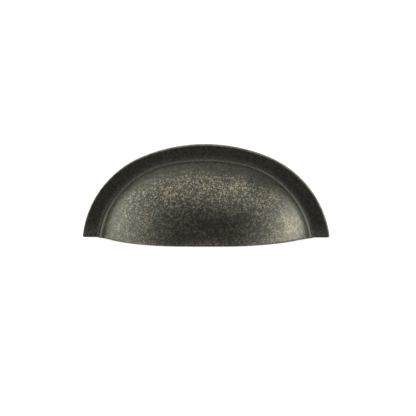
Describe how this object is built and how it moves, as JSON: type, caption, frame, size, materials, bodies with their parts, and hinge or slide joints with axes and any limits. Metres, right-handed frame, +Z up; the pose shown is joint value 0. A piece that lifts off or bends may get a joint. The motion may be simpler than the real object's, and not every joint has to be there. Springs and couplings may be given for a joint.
{
  "type": "cup pull",
  "caption": "Cast half-dome cup pull on a flat arched flange with a beaded edge, open below for the fingers and fixed from behind by concealed screws.",
  "frame": {"origin": "midway between the two tapped fixing holes, on the mounting plane at the back", "axes": "+X to the right along the drawer front, +Y into the drawer front, +Z up; the dome reaches towards -Y"},
  "size_m": [0.0998, 0.0237, 0.0376],
  "materials": {
    "antique_pewter": "dark antique pewter patina, rubbed back to speckled grey metal on the dome"
  },
  "bodies": {
    "root": {"cup_pull": "antique_pewter"}
  },
  "joints": []
}
